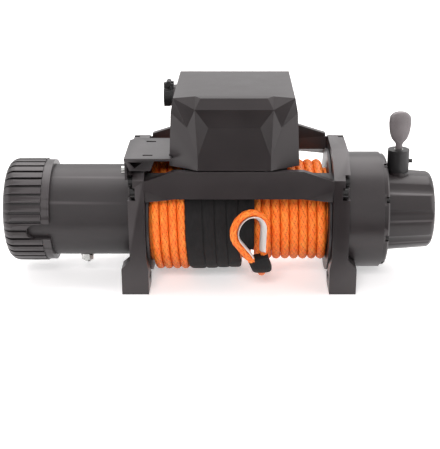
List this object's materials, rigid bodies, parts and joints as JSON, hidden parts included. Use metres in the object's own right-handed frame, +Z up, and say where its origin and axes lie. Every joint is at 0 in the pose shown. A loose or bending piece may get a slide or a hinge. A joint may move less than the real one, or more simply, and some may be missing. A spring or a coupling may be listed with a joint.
{
  "type": "electric recovery winch",
  "caption": "Electric winch: motor, braked drum with synthetic rope and eye, planetary gearbox with pull-up clutch, supports, tie bars and faceted control box.",
  "frame": {"origin": "centre of the four mounting holes on the underside of the feet", "axes": "+X along the drum from the motor to the gearbox, +Y to the rear away from the rope, +Z up"},
  "size_m": [0.5314, 0.1812, 0.2485],
  "materials": {
    "powder_coat": "satin",
    "black_plastic": "matte",
    "zinc_steel": "satin",
    "drum_steel": "satin",
    "gear_steel": "satin",
    "bronze": "satin",
    "copper": "satin",
    "orange_rope": "matte",
    "black_sleeve": "matte",
    "thimble_steel": "polished",
    "carbon": "matte",
    "core_steel": "matte",
    "brake_lining": "matte",
    "board_plastic": "matte"
  },
  "bodies": {
    "base": {"support_motor_side": "powder_coat", "support_gear_side": "powder_coat", "tie_bar_front": "powder_coat", "tie_bar_rear": "powder_coat", "tie_bar_screws": "zinc_steel", "drum_bushings": "bronze", "rope_end": "orange_rope", "thimble": "thimble_steel", "rope_cuff": "black_sleeve", "motor_tube": "powder_coat", "motor_end_cap": "black_plastic", "motor_drive_plate": "core_steel", "motor_brush_plate": "board_plastic", "motor_bearings": "zinc_steel", "field_poles": "core_steel", "field_coils": "copper", "brushes": "carbon", "motor_terminals": "bronze", "ground_terminal": "zinc_steel", "motor_through_bolts": "zinc_steel", "gear_housing": "powder_coat", "ring_gear": "gear_steel", "lock_ring_gear": "gear_steel", "gear_end_cover": "powder_coat", "cover_screws_set": "zinc_steel", "clutch_collar": "powder_coat", "box_cover": "black_plastic", "box_base": "powder_coat", "box_bracket": "powder_coat", "bracket_screws": "zinc_steel", "contactor": "black_plastic", "receiver": "black_plastic", "remote_socket": "black_plastic"},
    "drum_body": {"drum": "drum_steel", "rope_core": "orange_rope", "rope_winding_left": "orange_rope", "rope_winding_right": "orange_rope", "sleeve_winding": "black_sleeve", "output_carrier": "gear_steel"},
    "second_stage": {"second_carrier": "gear_steel"},
    "first_stage": {"first_carrier": "gear_steel"},
    "motor_rotor": {"armature_shaft": "gear_steel", "armature_core": "core_steel", "commutator": "copper", "hex_shaft": "gear_steel", "brake_coupler": "gear_steel", "brake_cone": "brake_lining"},
    "plunger": {"clutch_plunger": "zinc_steel", "clutch_spring": "zinc_steel"},
    "knob": {"clutch_knob": "black_plastic"},
    "cap": {"socket_cap": "black_plastic"},
    "third_planet_a_body": {"third_planet_a": "gear_steel"},
    "third_planet_b_body": {"third_planet_b": "gear_steel"},
    "third_planet_c_body": {"third_planet_c": "gear_steel"},
    "second_planet_a_body": {"second_planet_a": "gear_steel"},
    "second_planet_b_body": {"second_planet_b": "gear_steel"},
    "second_planet_c_body": {"second_planet_c": "gear_steel"},
    "first_planet_a_body": {"first_planet_a": "gear_steel"},
    "first_planet_b_body": {"first_planet_b": "gear_steel"},
    "first_planet_c_body": {"first_planet_c": "gear_steel"}
  },
  "joints": [
    {"name": "drum_spin", "type": "hinge", "parent": "base", "child": "drum_body", "pos_m": [0, 0, 0.083], "axis": [1, 0, 0], "continuous": true},
    {"name": "second_carrier_spin", "type": "hinge", "parent": "base", "child": "second_stage", "pos_m": [0.16, 0, 0.083], "axis": [1, 0, 0], "continuous": true},
    {"name": "first_carrier_spin", "type": "hinge", "parent": "base", "child": "first_stage", "pos_m": [0.186, 0, 0.083], "axis": [1, 0, 0], "continuous": true},
    {"name": "motor_spin", "type": "hinge", "parent": "base", "child": "motor_rotor", "pos_m": [-0.17, 0, 0.083], "axis": [1, 0, 0], "continuous": true},
    {"name": "third_planet_a_spin", "type": "hinge", "parent": "drum_body", "child": "third_planet_a_body", "pos_m": [0.1477, 0, 0.11713], "axis": [1, 0, 0], "continuous": true},
    {"name": "third_planet_b_spin", "type": "hinge", "parent": "drum_body", "child": "third_planet_b_body", "pos_m": [0.1477, -0.02955, 0.06594], "axis": [1, 0, 0], "continuous": true},
    {"name": "third_planet_c_spin", "type": "hinge", "parent": "drum_body", "child": "third_planet_c_body", "pos_m": [0.1477, 0.02955, 0.06594], "axis": [1, 0, 0], "continuous": true},
    {"name": "second_planet_a_spin", "type": "hinge", "parent": "second_stage", "child": "second_planet_a_body", "pos_m": [0.1687, 0, 0.11713], "axis": [1, 0, 0], "continuous": true},
    {"name": "second_planet_b_spin", "type": "hinge", "parent": "second_stage", "child": "second_planet_b_body", "pos_m": [0.1687, -0.02955, 0.06594], "axis": [1, 0, 0], "continuous": true},
    {"name": "second_planet_c_spin", "type": "hinge", "parent": "second_stage", "child": "second_planet_c_body", "pos_m": [0.1687, 0.02955, 0.06594], "axis": [1, 0, 0], "continuous": true},
    {"name": "first_planet_a_spin", "type": "hinge", "parent": "first_stage", "child": "first_planet_a_body", "pos_m": [0.1962, 0, 0.10543], "axis": [1, 0, 0], "continuous": true},
    {"name": "first_planet_b_spin", "type": "hinge", "parent": "first_stage", "child": "first_planet_b_body", "pos_m": [0.1962, -0.01942, 0.07179], "axis": [1, 0, 0], "continuous": true},
    {"name": "first_planet_c_spin", "type": "hinge", "parent": "first_stage", "child": "first_planet_c_body", "pos_m": [0.1962, 0.01942, 0.07179], "axis": [1, 0, 0], "continuous": true},
    {"name": "clutch_lift", "type": "slide", "parent": "base", "child": "plunger", "axis": [0, 0, 1], "range_m": [0, 0.009], "stiffness_N_per_m": 400, "springref_m": -0.004, "deforming": ["clutch_spring"]},
    {"name": "clutch_turn", "type": "hinge", "parent": "plunger", "child": "knob", "pos_m": [0.199, 0, 0.16], "axis": [0, 0, 1], "range_deg": [0, 90]},
    {"name": "cap_hinge", "type": "hinge", "parent": "base", "child": "cap", "pos_m": [-0.08601, 0.008, 0.2448], "axis": [0, 1, 0], "range_deg": [0, 105]}
  ],
  "couplings": [
    {"joint": "second_carrier_spin", "follows": "drum_spin", "ratio": 6.5},
    {"joint": "first_carrier_spin", "follows": "drum_spin", "ratio": 42.25},
    {"joint": "motor_spin", "follows": "drum_spin", "ratio": 274.62},
    {"joint": "third_planet_a_spin", "follows": "drum_spin", "ratio": -2.4444},
    {"joint": "third_planet_b_spin", "follows": "drum_spin", "ratio": -2.4444},
    {"joint": "third_planet_c_spin", "follows": "drum_spin", "ratio": -2.4444},
    {"joint": "second_planet_a_spin", "follows": "drum_spin", "ratio": -15.889},
    {"joint": "second_planet_b_spin", "follows": "drum_spin", "ratio": -15.889},
    {"joint": "second_planet_c_spin", "follows": "drum_spin", "ratio": -15.889},
    {"joint": "first_planet_a_spin", "follows": "drum_spin", "ratio": -103.28},
    {"joint": "first_planet_b_spin", "follows": "drum_spin", "ratio": -103.28},
    {"joint": "first_planet_c_spin", "follows": "drum_spin", "ratio": -103.28}
  ]
}
